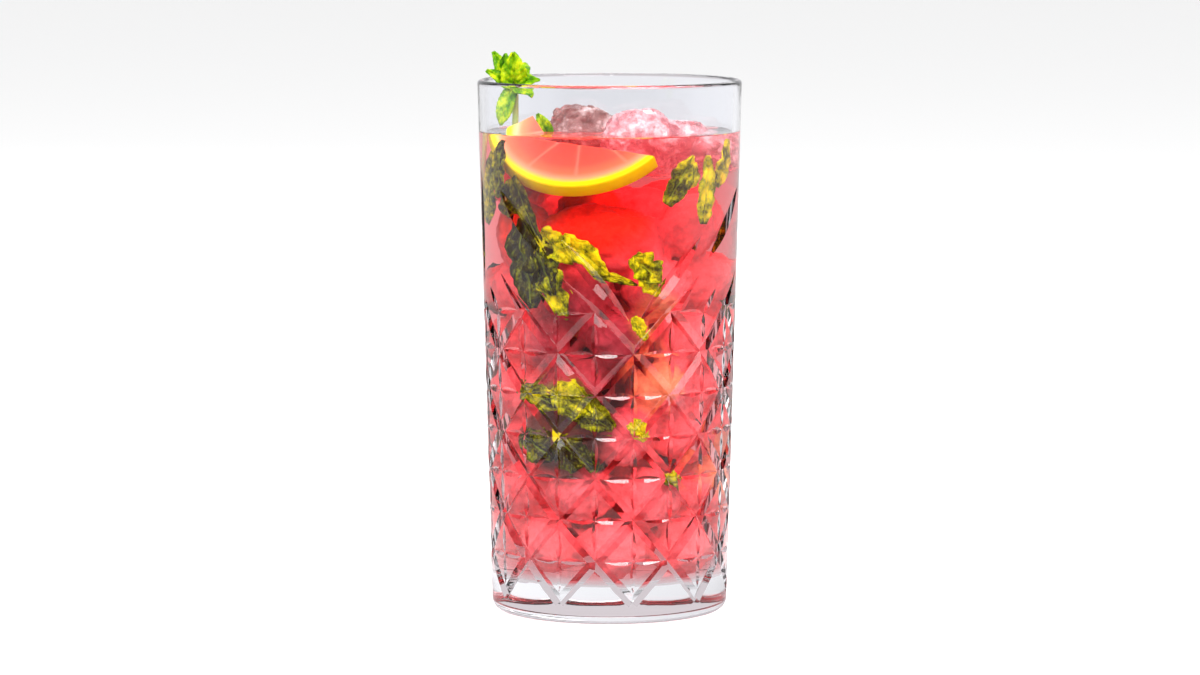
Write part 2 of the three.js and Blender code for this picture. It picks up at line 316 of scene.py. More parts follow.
def noise_field(tree, scale, detail, roughness=0.5):
    """A noise pattern in Object coordinates."""
    place = tree.nodes.new("ShaderNodeTexCoord").outputs["Object"]
    field = add_node(
        tree, "ShaderNodeTexNoise", Scale=scale, Detail=detail, Roughness=roughness, Vector=place
    )
    return field.outputs["Fac"]


def painted(tree, name, output="Fac"):
    """What an attribute of the mesh holds."""
    return add_node(tree, "ShaderNodeAttribute", attribute_name=name).outputs[output]


def computed(tree, operation, *terms, clamp=False):
    """The result of a Math node on outputs and numbers."""
    node = add_node(tree, "ShaderNodeMath", operation=operation, use_clamp=clamp)
    for socket, term in zip(node.inputs, terms):
        feed(tree, socket, term)
    return node.outputs["Value"]


def mapped(tree, value, **limits):
    """A range of a value spread over another range."""
    return add_node(tree, "ShaderNodeMapRange", Value=value, **limits).outputs["Result"]


def ramp(tree, factor, stops):
    """A colour ramp with (place, colour) stops. A number stands for a grey."""
    node = add_node(tree, "ShaderNodeValToRGB", Fac=factor)
    elements = node.color_ramp.elements
    while len(elements) < len(stops):
        elements.new(0.5)
    for element, (place, colour) in zip(elements, stops):
        element.position = place
        element.color = (*colour, 1) if isinstance(colour, tuple) else (colour, colour, colour, 1)
    return node.outputs["Color"]


def bump(tree, height, strength, distance):
    """A bump normal from a height."""
    node = add_node(tree, "ShaderNodeBump", Strength=strength, Distance=distance, Height=height)
    return node.outputs["Normal"]


def mixed_colour(tree, factor, first, second, blend_type="MIX"):
    """One colour mixed with another."""
    node = add_node(
        tree, "ShaderNodeMix", data_type="RGBA", blend_type=blend_type, Factor=factor, A=first, B=second
    )
    return node.outputs["Result"]


def mixed_shader(tree, factor, first, second):
    """One shader mixed with another."""
    node = add_node(tree, "ShaderNodeMixShader", Fac=factor)
    tree.links.new(first, node.inputs[1])
    tree.links.new(second, node.inputs[2])
    return node.outputs["Shader"]


def lit_through(tree, shader, colour, share):
    """A shader with a share of light that comes through from behind."""
    through = add_node(tree, "ShaderNodeBsdfTranslucent", Color=colour)
    return mixed_shader(tree, share, shader, through.outputs["BSDF"])


def finish_surface(tree, shader, lamp_colour=None):
    """Puts a shader on the surface. With a lamp colour, lamps shine through it in that colour."""
    if lamp_colour is not None:
        path = tree.nodes.new("ShaderNodeLightPath")
        clear = add_node(tree, "ShaderNodeBsdfTransparent", Color=(*lamp_colour, 1))
        shader = mixed_shader(tree, path.outputs["Is Shadow Ray"], shader, clear.outputs["BSDF"])
    output = tree.nodes.new("ShaderNodeOutputMaterial")
    tree.links.new(shader, output.inputs["Surface"])
    return output


def clear_glass():
    """Pressed soda glass: clear, with a faint waviness."""
    material, tree = new_material("clear_glass")
    shader = add_node(
        tree, "ShaderNodeBsdfPrincipled", Base_Color=(0.94, 0.945, 0.965, 1), Roughness=0.0,
        IOR=GLASS_BENDING, Transmission_Weight=1.0,
        Normal=bump(tree, noise_field(tree, 90, 2), 0.06, 0.001),
    )
    finish_surface(tree, shader.outputs["BSDF"], (0.96, 0.97, 0.98))
    return material


def wet_glass():
    """The inside of the glass where the drink touches it: all total reflections, and few weak ones."""
    nearly_all, weak_share = 0.95, 0.3
    clear = {"Color": (1, 1, 1, 1), "Roughness": 0.0, "IOR": GLASS_BENDING}
    material, tree = new_material("wet_glass")
    fresnel = add_node(tree, "ShaderNodeFresnel", IOR=GLASS_BENDING)
    total = computed(tree, "GREATER_THAN", fresnel.outputs["Fac"], nearly_all)
    share = computed(tree, "MAXIMUM", total, weak_share)
    bends = add_node(tree, "ShaderNodeBsdfRefraction", **clear)
    reflects = add_node(tree, "ShaderNodeBsdfGlass", **clear)
    mix = mixed_shader(tree, share, bends.outputs["BSDF"], reflects.outputs["BSDF"])
    finish_surface(tree, mix, (0.98, 0.98, 0.98))
    return material


def red_drink():
    """The clear red liquid, tinted by its depth."""
    drink = bpy.context.scene.mojito_drink
    material, tree = new_material("red_drink")
    shader = add_node(
        tree, "ShaderNodeBsdfPrincipled", Base_Color=(1, 1, 1, 1), Roughness=0.0,
        IOR=DRINK_BENDING, Transmission_Weight=1.0,
    )
    tint = add_node(
        tree, "ShaderNodeVolumeAbsorption", Color=(*drink.colour, 1), Density=drink.density
    )
    output = finish_surface(tree, shader.outputs["BSDF"], (1, 1, 1))
    tree.links.new(tint.outputs["Volume"], output.inputs["Volume"])
    return material


def broken_ice(name, shades):
    """Wet ice: clear and craggy, with paler cracks and clouds, tinted by the drink."""
    material, tree = new_material(name)
    clouds = noise_field(tree, 150, 5, 0.65)
    shader = add_node(
        tree, "ShaderNodeBsdfPrincipled", IOR=ICE_BENDING,
        Base_Color=ramp(tree, clouds, list(zip((0.32, 0.5, 0.66), shades))),
        Transmission_Weight=ramp(tree, clouds, [(0.38, 1), (0.66, 0.25)]),
        Roughness=ramp(tree, clouds, [(0.35, 0.02), (0.7, 0.3)]),
        Normal=bump(tree, noise_field(tree, 330, 5, 0.6), 0.9, 0.002),
    )
    finish_surface(tree, shader.outputs["BSDF"], (0.95, 0.85, 0.87))
    return material


def mint_material(name, shine, shades):
    """A mint leaf: pale veins, an uneven quilted skin, blotches, and light coming through it."""
    material, tree = new_material(name)
    mottled = noise_field(tree, 260, 5, 0.75)
    blotches = computed(tree, "MULTIPLY_ADD", mottled, 3.2, painted(tree, "fresh"))
    shade = computed(tree, "SUBTRACT", blotches, 1.6)
    skin = ramp(tree, shade, list(zip((0.0, 0.25, 0.5, 0.75, 1.0), shades)))
    faint_veins = computed(tree, "MULTIPLY", painted(tree, "vein"), 0.55)
    colour = mixed_colour(tree, faint_veins, skin, (0.55, 0.7, 0.03, 1))
    shader = add_node(
        tree, "ShaderNodeBsdfPrincipled", Roughness=0.35, IOR=1.4, Specular_IOR_Level=shine,
        Base_Color=colour, Normal=bump(tree, noise_field(tree, 900, 3), 0.4, 0.0005),
    )
    finish_surface(tree, lit_through(tree, shader.outputs["BSDF"], colour, 0.4))
    return material


def on_glass(column, z, depth=0.0):
    """A point on the outside of the glass, moved in by a depth, in millimetres."""
    angle = FRONT_SEAM + column * COLUMN
    radius = radius_out(z) - depth
    return Vector((radius * math.sin(angle), -radius * math.cos(angle), z))


def cut_section(path, i):
    """The three corners of a V cut at one step of its (column, height, depth) path."""
    column, z, depth = path[i]
    before = path[max(i - 1, 0)]
    after = path[min(i + 1, len(path) - 1)]
    along = on_glass(*after[:2]) - on_glass(*before[:2])
    outwards = (on_glass(column, z) * Vector((1, 1, 0))).normalized()
    side = along.cross(outwards).normalized() * (depth + CUTTER_RISE) * math.tan(CUT_HALF_ANGLE)
    above = on_glass(column, z, -CUTTER_RISE)
    return [on_glass(column, z, depth), above + side, above - side]


def v_cutter(path, collection):
    """A V-shaped cutter whose edge follows a path over the glass: a bent three-sided bar."""
    steps = len(path) - 1
    bm = bmesh.new()
    bmesh.ops.create_cone(
        bm, cap_ends=True, cap_tris=False, segments=3, radius1=1, radius2=1, depth=steps
    )
    lengthwise = [e for e in bm.edges if abs(e.verts[0].co.z - e.verts[1].co.z) > 0.5]
    bmesh.ops.subdivide_edges(bm, edges=lengthwise, cuts=steps - 1, use_grid_fill=True)
    for vert in bm.verts:
        i = round(vert.co.z + steps / 2)
        corner_number = round(3 * math.atan2(vert.co.y, vert.co.x) / (2 * math.pi) - 0.75) % 3
        vert.co = cut_section(path, i)[corner_number] * MM
    face_outwards(bm)
    mesh = bpy.data.meshes.new("cutter")
    bm.to_mesh(mesh)
    bm.free()
    collection.objects.link(bpy.data.objects.new("cutter", mesh))


def leaf_path(start, end, depth, deepest=0.5, steps=8):
    """The path of a leaf-shaped cut, deepest at a share of its length."""
    path = []
    for i in range(steps + 1):
        t = i / steps
        away = (deepest - t) / deepest if t < deepest else (t - deepest) / (1 - deepest)
        column = start[0] + (end[0] - start[0]) * t
        z = start[1] + (end[1] - start[1]) * t
        path.append((column, z, depth * (1 - away * away)))
    return path


def groove_paths(depth):
    """The diagonal grooves. The two beside each seam that lean away from it run on to a point."""
    steps_a_row, run_out, run_out_steps = 4, 0.84, 3
    for start in range(0, COLUMNS, 2):
        for lean in (-1, 1):
            rows = [i / steps_a_row for i in range(TOP_ROW * steps_a_row + 1)]
            path = [(start + lean * row, FIRST_ROW + row * ROW, depth) for row in rows]
            top = start + lean * TOP_ROW
            if (lean * top) % (COLUMNS / 2) < COLUMNS / 4:
                for i in range(1, run_out_steps + 1):
                    on = run_out * i / run_out_steps
                    height = FIRST_ROW + (TOP_ROW + on) * ROW
                    path.append((top + lean * on, height, depth * (1 - i / run_out_steps)))
            yield path


def star_paths(depth):
    """Four leaf cuts that meet in the middle of each diamond."""
    up = STAR_REACH * ROW
    for row in range(1, TOP_ROW):
        for column in range((row + 1) % 2, COLUMNS, 2):
            z = FIRST_ROW + row * ROW
            for aside, rise in ((STAR_REACH, 0), (-STAR_REACH, 0), (0, up), (0, -up)):
                yield leaf_path((column, z), (column + aside, z + rise), depth, STAR_DEEPEST)


def crest_paths(depth, star_depth):
    """The crest: long leaf cuts and half stars that climb away from each of the two seams."""
    for seam in (0, COLUMNS // 2):
        for way in (-1, 1):
            for (c1, z1), (c2, z2) in CREST_LEAVES:
                yield leaf_path((seam + way * c1, z1), (seam + way * c2, z2), depth, steps=16)
            for column in HALF_STAR_COLUMNS:
                for aside, rise in HALF_STAR_TIPS:
                    centre = (seam + way * column, HALF_STAR_HEIGHT)
                    tip = (seam + way * (column + aside), HALF_STAR_HEIGHT + rise)
                    yield leaf_path(centre, tip, star_depth, HALF_STAR_DEEPEST)
    for quarter in (COLUMNS // 4, 3 * COLUMNS // 4):
        (_, low), (_, high) = MIDDLE_LEAF
        yield leaf_path((quarter, low), (quarter, high), depth, steps=16)


def wet_height():
    """How high the drink wets the wall, in millimetres."""
    drink = bpy.context.scene.mojito_drink
    return (drink.level + drink.meniscus) / MM


def glass_profile():
    """The tumbler's section, from the middle of its base round to the middle of its floor."""
    glass = bpy.context.scene.mojito_glass
    height, foot = glass.height / MM, glass.foot_radius / MM
    rim, lip = glass.rim_radius / MM, glass.rim_wall / MM / 2
    floor, foot_round, under_lip = glass.floor / MM, 3.2, 148.4
    points = [(0, 0), (foot * 0.5, 0)]
    points += corner(foot - foot_round, foot_round, foot_round, -90, 0, 8)
    points += [(radius_out(z), z) for z in (30, 60, 90, 110, PLAIN_ZONE_BOTTOM, 140, under_lip)]
    points += corner(rim - lip, height - lip, lip, 0, 180, 12)
    heights = (under_lip, 142, wet_height(), *reversed(WALL_HEIGHTS))
    points += [(radius_in(z), z) for z in heights]
    corner_x, corner_z = radius_in(floor + FLOOR_ROUND) - FLOOR_ROUND, floor + FLOOR_ROUND
    points += corner(corner_x, corner_z, FLOOR_ROUND, 0, -90, 8)
    points += [(foot * 0.4, floor), (0, floor)]
    return points


def is_wet(place):
    """Whether a point of the glass is on its inside, under the drink's edge."""
    floor = bpy.context.scene.mojito_glass.floor / MM
    reach = 0.1
    inside = place.xy.length < radius_in(place.z) + reach
    return inside and floor - reach < place.z < wet_height() + reach


def shade_glass(mesh):
    """Shades the cuts by their own facets, and the plain outside as one even cone."""
    glass = bpy.context.scene.mojito_glass
    mesh.shade_smooth()
    mesh.set_sharp_from_angle(angle=math.radians(12))
    slope = (glass.rim_radius - glass.foot_radius) / glass.height
    low, high, off = 4, 148.5, 0.03
    normals = [corner.vector.copy() for corner in mesh.corner_normals]
    for face in mesh.polygons:
        places = [mesh.vertices[i].co / MM for i in face.vertices]
        plain = all(
            low < place.z < high and abs(place.xy.length - radius_out(place.z)) < off
            for place in places
        )
        if plain:
            for loop, place in zip(face.loop_indices, places):
                out = place.xy.normalized()
                normals[loop] = Vector((out.x, out.y, -slope)).normalized()
    mesh.normals_split_custom_set(normals)


class MOJITO_PG_glass(bpy.types.PropertyGroup):
    """The tumbler's sizes."""

    height: bpy.props.FloatProperty(
        name="Height", description="Height of the glass", default=GLASS_HEIGHT, unit="LENGTH"
    )
    rim_radius: bpy.props.FloatProperty(
        name="Rim Radius", description="Outside radius at the rim", default=0.0372, unit="LENGTH"
    )
    foot_radius: bpy.props.FloatProperty(
        name="Foot Radius", description="Outside radius at the foot", default=0.0332, unit="LENGTH"
    )
    rim_wall: bpy.props.FloatProperty(
        name="Rim Wall", description="Thickness of the plain wall", default=0.0021, unit="LENGTH"
    )
    cut_wall: bpy.props.FloatProperty(
        name="Cut Wall", description="Thickness of the wall under the cuts", default=0.0034, unit="LENGTH"
    )
    floor: bpy.props.FloatProperty(
        name="Floor", description="Thickness of the solid base", default=0.0105, unit="LENGTH"
    )
    groove_depth: bpy.props.FloatProperty(
        name="Groove Depth", description="Depth of the diagonal grooves", default=0.0011, unit="LENGTH"
    )
    star_depth: bpy.props.FloatProperty(
        name="Star Depth", description="Depth of the stars' leaf cuts", default=0.00062, unit="LENGTH"
    )
    crest_depth: bpy.props.FloatProperty(
        name="Crest Depth", description="Depth of the long leaf cuts", default=0.0013, unit="LENGTH"
    )
    sides: bpy.props.IntProperty(
        name="Sides", description="Steps round the glass", default=180, min=40
    )


class MOJITO_PG_drink(bpy.types.PropertyGroup):
    """The drink's level and colour."""

    level: bpy.props.FloatProperty(
        name="Level", description="Height of the drink's surface", default=DRINK_LEVEL, unit="LENGTH"
    )
    overlap: bpy.props.FloatProperty(
        name="Overlap", description="How far the drink reaches into the wall", default=0.00015, unit="LENGTH"
    )
    meniscus: bpy.props.FloatProperty(
        name="Meniscus", description="How far the drink climbs the wall", default=0.0004, unit="LENGTH"
    )
    colour: bpy.props.FloatVectorProperty(
        name="Colour", description="Colour that light takes on in the drink", subtype="COLOR",
        size=3, default=(0.985, 0.2, 0.22), min=0, max=1,
    )
    density: bpy.props.FloatProperty(
        name="Density", description="How strongly the drink takes up light, for each metre", default=40.0
    )


class MOJITO_PG_garnish(bpy.types.PropertyGroup):
    """The lemon's and the mint's sizes."""

    lemon_radius: bpy.props.FloatProperty(
        name="Lemon Radius", description="Radius of the slice", default=0.0235, unit="LENGTH"
    )
    lemon_thickness: bpy.props.FloatProperty(
        name="Lemon Thickness", description="Thickness of the slice", default=0.0045, unit="LENGTH"
    )
    stem_radius: bpy.props.FloatProperty(
        name="Stem Radius", description="Radius of the mint's stem", default=0.0009, unit="LENGTH"
    )
    leaf_thickness: bpy.props.FloatProperty(
        name="Leaf Thickness", description="Thickness of a mint leaf", default=0.0004, unit="LENGTH"
    )


class MOJITO_PG_stage(bpy.types.PropertyGroup):
    """The camera, the lights and the floor."""

    camera_distance: bpy.props.FloatProperty(
        name="Camera Distance", description="From the glass's axis", default=1.326, unit="LENGTH"
    )
    camera_height: bpy.props.FloatProperty(
        name="Camera Height", description="Above the floor", default=0.217, unit="LENGTH"
    )
    aim_height: bpy.props.FloatProperty(
        name="Aim Height", description="Height that the camera looks at", default=0.077, unit="LENGTH"
    )
    lens: bpy.props.FloatProperty(
        name="Lens", description="Focal length in millimetres, on a 36 mm sensor", default=141.5
    )
    floor_radius: bpy.props.FloatProperty(
        name="Floor Radius", description="Radius of the pale floor", default=30.0, unit="LENGTH"
    )


class MOJITO_OT_glass(bpy.types.Operator):
    """Make the cut glass tumbler"""

    bl_idname = "mojito.glass"
    bl_label = "Cut Glass Tumbler"

    def execute(self, context):
        glass = context.scene.mojito_glass
        tumbler = to_object(turned(glass_profile(), glass.sides), "tumbler")
        cutters = bpy.data.collections.new("cutters")
        context.scene.collection.children.link(cutters)
        paths = list(groove_paths(glass.groove_depth / MM))
        paths += star_paths(glass.star_depth / MM)
        paths += crest_paths(glass.crest_depth / MM, glass.star_depth / MM)
        for path in paths:
            v_cutter(path, cutters)
        cuts = tumbler.modifiers.new("cuts", "BOOLEAN")
        cuts.operation = "DIFFERENCE"
        cuts.operand_type = "COLLECTION"
        cuts.collection = cutters
        cuts.solver = "MANIFOLD"
        apply_modifiers(tumbler)
        for cutter in list(cutters.objects):
            bpy.data.objects.remove(cutter)
        bpy.data.collections.remove(cutters)
        tumbler.data.materials.clear()
        for material in (clear_glass(), wet_glass()):
            tumbler.data.materials.append(material)
        for face in tumbler.data.polygons:
            places = [tumbler.data.vertices[i].co / MM for i in face.vertices]
            face.material_index = int(all(is_wet(place) for place in places))
        shade_glass(tumbler.data)
        in_body(tumbler, "clear_glass", "glass")
        return {"FINISHED"}


class MOJITO_OT_drink(bpy.types.Operator):
    """Make the red drink up to its level"""

    bl_idname = "mojito.drink"
    bl_label = "Red Drink"

    def execute(self, context):
        glass, drink = context.scene.mojito_glass, context.scene.mojito_drink
        level, into, climb = drink.level / MM, drink.overlap / MM, drink.meniscus / MM
        floor = glass.floor / MM - into
        low = floor + FLOOR_ROUND
        profile = [(0, floor)]
        profile += corner(radius_in(low) + into - FLOOR_ROUND, low, FLOOR_ROUND, -90, 0, 8)
        profile += [(radius_in(z) + into, z) for z in (*WALL_HEIGHTS, level + climb)]
        edge = radius_in(level)
        profile += [(edge - 0.3, level + climb * 0.6), (edge - 0.9, level + climb * 0.2)]
        profile += [(edge * share, level) for share in (0.94, 0.8, 0.6, 0.4, 0.2, 0)]
        bm = turned(profile, 128)
        still_edge, ripple, ripple_scale = 1.5, 0.35, 0.22
        for vert in bm.verts:
            if vert.co.z > level - MERGE and vert.co.xy.length < edge - still_edge:
                vert.co.z += ripple * noise.noise(vert.co * ripple_scale)
        piece = to_object(bm, "red_drink", red_drink())
        in_body(piece, "red_drink", "drink")
        return {"FINISHED"}


def lump_hull(centre, half, seed, points=30, unevenness=0.25):
    """A closed uneven lump in millimetres: the hull of an ellipsoid's points, each pushed in a little."""
    rng = random.Random(seed)
    golden_angle = math.pi * (3 - math.sqrt(5))
    bm = bmesh.new()
    for i in range(points):
        z = 1 - (2 * i + 1) / points
        angle, across = i * golden_angle + seed, math.sqrt(1 - z * z)
        reach = 1 + unevenness * (rng.random() - 1)
        way = Vector((across * math.cos(angle), across * math.sin(angle), z)) * reach
        bm.verts.new(Vector(centre) + way * Vector(half))
    made = bmesh.ops.convex_hull(bm, input=bm.verts[:])
    inner = {v for v in made["geom_interior"] if isinstance(v, bmesh.types.BMVert)}
    bmesh.ops.delete(bm, geom=list(inner), context="VERTS")
    face_outwards(bm)
    return bm


def make_craggy(piece, voxel, roundness, crags):
    """Makes a lump an even mesh, softens its corners and roughens it. Lengths are in millimetres."""
    remesh = piece.modifiers.new("even", "REMESH")
    remesh.mode = "VOXEL"
    remesh.voxel_size = voxel * MM
    apply_modifiers(piece)
    bm = bmesh.new()
    bm.from_mesh(piece.data)
    for _ in range(roundness):
        bmesh.ops.smooth_vert(
            bm, verts=bm.verts, factor=0.5, use_axis_x=True, use_axis_y=True, use_axis_z=True
        )
    bm.normal_update()
    coarse, fine, usual = 0.32, 0.8, 0.3
    moves = []
    for vert in bm.verts:
        place = vert.co / MM
        shards = abs(noise.noise(place * coarse)) + 0.5 * abs(noise.noise(place * fine))
        moves.append((vert, vert.normal * crags * (usual - shards) * MM))
    for vert, move in moves:
        vert.co += move
    bm.to_mesh(piece.data)
    bm.free()
    piece.data.shade_smooth()


class MOJITO_OT_ice(bpy.types.Operator):
    """Make the lumps of ice that stand out of the drink"""

    bl_idname = "mojito.ice"
    bl_label = "Broken Ice"

    def execute(self, context):
        pink = broken_ice("pink_ice", [(0.78, 0.4, 0.46), (0.95, 0.6, 0.65), (1, 0.9, 0.92)])
        # The left and back lumps get the same ice in darker shades: painted shade
        grey = broken_ice("grey_ice_painted_shade", [(0.42, 0.22, 0.2), (0.6, 0.38, 0.36), (0.85, 0.68, 0.68)])
        finishes = {"ice_left": grey, "ice_right": pink, "ice_low": pink, "ice_back": grey}
        for name, material in finishes.items():
            bm = bmesh.new()
            bm.from_mesh(frame["nodes"][name].data)
            bmesh.ops.remove_doubles(bm, verts=bm.verts, dist=MERGE)
            bmesh.ops.scale(bm, vec=(1 / MM,) * 3, verts=bm.verts)
            lump = to_object(bm, name + "_lump", material)
            make_craggy(lump, voxel=0.45, roundness=2, crags=1.6)
            in_body(lump, "ice", name)
        return {"FINISHED"}


# What is packed in the drink: the colour of the ice, and zones of other colours, each with its
# name, angle and height, how far it spreads each way, and colour
PACKED_ICE = (1.0, 0.15, 0.17)
PACKED_ZONES = [
    ("strawberry", -12, 74, 38, 23, (0.46, 0.045, 0.065)),
    ("muddled mint", -30, 54, 30, 13, (0.2, 0.07, 0.05)),
    ("mint", -26, 62, 15, 6, (0.21, 0.18, 0.03)),
    ("citrus", 28, 76, 14, 17, (1.0, 0.35, 0.16)),
    ("clear drink", -28, 114, 60, 15, (1.0, 0.05, 0.02)),
    ("muddled mint", -50, 122, 24, 10, (0.45, 0.08, 0.015)),
    ("strawberry", 150, 60, 35, 22, (0.45, 0.04, 0.06)),
    ("muddled mint", -120, 75, 30, 14, (0.25, 0.1, 0.07)),
    ("citrus", 95, 40, 25, 12, (1.0, 0.4, 0.2)),
]
# Lumps of it under the lemon and beside it: centre and half size
SIDE_LUMPS = [
    ((-20, -7, 106), (8.5, 10, 13)), ((-19, 2, 121), (8, 11, 8)), ((18.5, -5, 110), (9, 12, 11)),
    ((-1, -12, 106), (19, 13, 12)),
]


def packed_colour(place):
    """The colour of what is packed in the drink at a place in millimetres."""
    colour = Vector(PACKED_ICE)
    angle = math.degrees(math.atan2(place.x, -place.y)) + 7 * noise.noise(place * 0.12)
    height = place.z + 4 * noise.noise(place * 0.12 + Vector((31, 0, 0)))
    for _, middle, level, wide, tall, zone_colour in PACKED_ZONES:
        aside = (angle - middle + 180) % 360 - 180
        away = math.hypot(aside / wide, (height - level) / tall)
        share = min(max((1.25 - away) / 0.5, 0), 1)
        colour = colour.lerp(Vector(zone_colour), share * share * (3 - 2 * share))
    return colour


def packed_material():
    """Crushed ice and fruit, in the colours of their attribute."""
    material, tree = new_material("packed_ice")
    specks = ramp(tree, noise_field(tree, 330, 5, 0.7), [(0.3, 0.8), (0.5, 1), (0.7, 1.3)])
    colour = mixed_colour(tree, 1.0, painted(tree, "tint", "Color"), specks, "MULTIPLY")
    shader = add_node(
        tree, "ShaderNodeBsdfPrincipled", Roughness=0.4, Specular_IOR_Level=0.05,
        Base_Color=colour, Normal=bump(tree, noise_field(tree, 240, 4), 0.6, 0.002),
    )
    finish_surface(tree, lit_through(tree, shader.outputs["BSDF"], colour, 0.15))
    return material


class MOJITO_OT_packed(bpy.types.Operator):
    """Make the crushed ice and fruit that is packed in the drink"""

    bl_idname = "mojito.packed"
    bl_label = "Packed Ice and Fruit"

    def execute(self, context):
        rng = random.Random(7)
        lumps = bmesh.new()
        layers = [22, 36, 50, 64, 78, 92, 104, 114]
        places = list(SIDE_LUMPS)
        for layer, z in enumerate(layers):
            # The upper lumps are smaller and stand back, behind clear drink
            ring, reach, half, back = (7, 19.5, 10.5, 0) if z < 100 else (5, 12, 8.5, 9)
            places.append(((0, back, z + rng.uniform(-2, 2)), (14, 14, 10)))
            for i in range(ring):
                turn = 360 * (i + 0.5 * (layer % 2) + 0.3 * rng.random()) / ring
                x, y, _ = around(turn, reach + rng.uniform(-0.5, 1), 0)
                places.append(((x, y + back, z + rng.uniform(-2, 2)), (half, half, 10)))
        for centre, size in places:
            bm = lump_hull(centre, size, rng.randrange(10000))
            part = bpy.data.meshes.new("part")
            bm.to_mesh(part)
            bm.free()
            lumps.from_mesh(part)
            bpy.data.meshes.remove(part)
        piece = to_object(lumps, "packed_ice", packed_material())
        make_craggy(piece, voxel=1.0, roundness=2, crags=1.6)
        tint = piece.data.attributes.new("tint", "FLOAT_COLOR", "POINT")
        for vert, colour in zip(piece.data.vertices, tint.data):
            colour.color = (*packed_colour(vert.co / MM), 1)
        in_body(piece, "red_drink")
        return {"FINISHED"}


def leaf_frame(root, tip, face):
    """The directions along a leaf, across it and out of its face."""
    along = (Vector(tip) - Vector(root)).normalized()
    side = along.cross(Vector(face)).normalized()
    return along, side, side.cross(along)


def add_leaf(bm, leaf, seed, crumpled, steps=34, across=16):
    """A crinkled mint leaf with a toothed edge, side veins and a sunk middle vein."""
    root, tip, width, bow, face, freshness = leaf
    vein, fresh = bm.verts.layers.float["vein"], bm.verts.layers.float["fresh"]
    along, side, up = leaf_frame(root, tip, face)
    length = (Vector(tip) - Vector(root)).length
    veins_a_side, teeth_a_side = 6, 9
    for vert in bmesh.ops.create_grid(bm, x_segments=steps, y_segments=across, size=1)["verts"]:
        # How far along the leaf, from 0 to 1, and how far across it, from -1 to 1
        t, share = (vert.co.x + 1) / 2, vert.co.y
        # How wide it is there, with its teeth and its ragged edge
        outline = math.sin(math.pi * (0.08 + 0.9 * t) ** 0.9) ** 0.8
        tooth = 1 - abs((t * teeth_a_side) % 1 - 0.35)
        ragged = crumpled * noise.noise(Vector((t * 6, 2 * math.copysign(1, share), seed)))
        half = width / 2 * outline * (0.9 + 0.14 * tooth * abs(share) ** 3 + 0.45 * ragged)
        # How high its skin lies: quilted between the veins, wrinkled, and wavy at the edge
        furrow = abs(math.sin(math.pi * (t - 0.3 * abs(share)) * veins_a_side))
        quilt = 0.075 * width * furrow ** 0.6 * min(1, 4 * (1 - abs(share)), 5 * abs(share))
        rough = (0.05 + 0.12 * crumpled) * width * noise.noise(Vector((t * 5, share * 2.5, seed)))
        wave = 0.07 * width * share ** 2 * math.sin(10 * t + seed + 1.5 * share)
        height = bow * math.sin(math.pi * t) + 0.25 * abs(share) * half + quilt + rough + wave
        curl = 0.08 * width * t ** 3 * math.sin(seed * 1.7)
        vert.co = Vector(root) + along * (t * length) + side * (share * half + curl) + up * height
        vert[vein] = max(0.0, 0.6 - 3 * furrow) + max(0.0, 1 - 10 * abs(share))
        vert[fresh] = freshness


def leaves_object(leaves, name, material, thickness, crumpled=0.0):
    """Leaves as one piece, each with two faces and an edge."""
    bm = bmesh.new()
    for layer in ("vein", "fresh"):
        bm.verts.layers.float.new(layer)
    for seed, leaf in enumerate(leaves):
        add_leaf(bm, leaf, seed, crumpled)
    piece = to_object(bm, name, material, 60)
    solid = piece.modifiers.new("thickness", "SOLIDIFY")
    solid.thickness = thickness
    solid.offset = 0
    return apply_modifiers(piece)


def tube(route, radius, name, material, sides=12):
    """A closed round tube along a route in millimetres. Its radius is in metres."""
    curve = bpy.data.curves.new(name, "CURVE")
    curve.dimensions = "3D"
    curve.bevel_depth = radius
    curve.bevel_resolution = sides // 4
    curve.use_fill_caps = True
    curve.resolution_u = 8
    spline = curve.splines.new("NURBS")
    spline.points.add(len(route) - 1)
    for point, place in zip(spline.points, route):
        point.co = (*(Vector(place) * MM), 1)
    spline.order_u = 3
    spline.use_endpoint_u = True
    holder = bpy.data.objects.new(name, curve)
    bpy.context.scene.collection.objects.link(holder)
    graph = bpy.context.evaluated_depsgraph_get()
    graph.update()
    mesh = bpy.data.meshes.new_from_object(holder.evaluated_get(graph))
    bpy.data.objects.remove(holder)
    bpy.data.curves.remove(curve)
    bm = bmesh.new()
    bm.from_mesh(mesh)
    bpy.data.meshes.remove(mesh)
    bmesh.ops.remove_doubles(bm, verts=bm.verts, dist=MERGE)
    bmesh.ops.scale(bm, vec=(1 / MM,) * 3, verts=bm.verts)
    face_outwards(bm)
    return to_object(bm, name, material, 40)


# The shades of mint from bruised to freshest, in the air and in the drink
FRESH_SHADES = [
    (0.03, 0.07, 0.002), (0.05, 0.19, 0.002), (0.13, 0.38, 0.002), (0.32, 0.56, 0.002), (0.7, 0.8, 0.01)
]
SUNKEN_SHADES = [
    (0.03, 0.015, 0.001), (0.07, 0.05, 0.001), (0.24, 0.23, 0.002), (0.65, 0.6, 0.004), (1.0, 0.85, 0.006)
]


def stem_material():
    """The pale green skin of a mint stem."""
    material, tree = new_material("mint_stem")
    shader = add_node(
        tree, "ShaderNodeBsdfPrincipled", Base_Color=(0.5, 0.6, 0.2, 1), Roughness=0.35,
        Subsurface_Weight=0.3, Subsurface_Scale=0.002,
    )
    finish_surface(tree, shader.outputs["BSDF"])
    return material


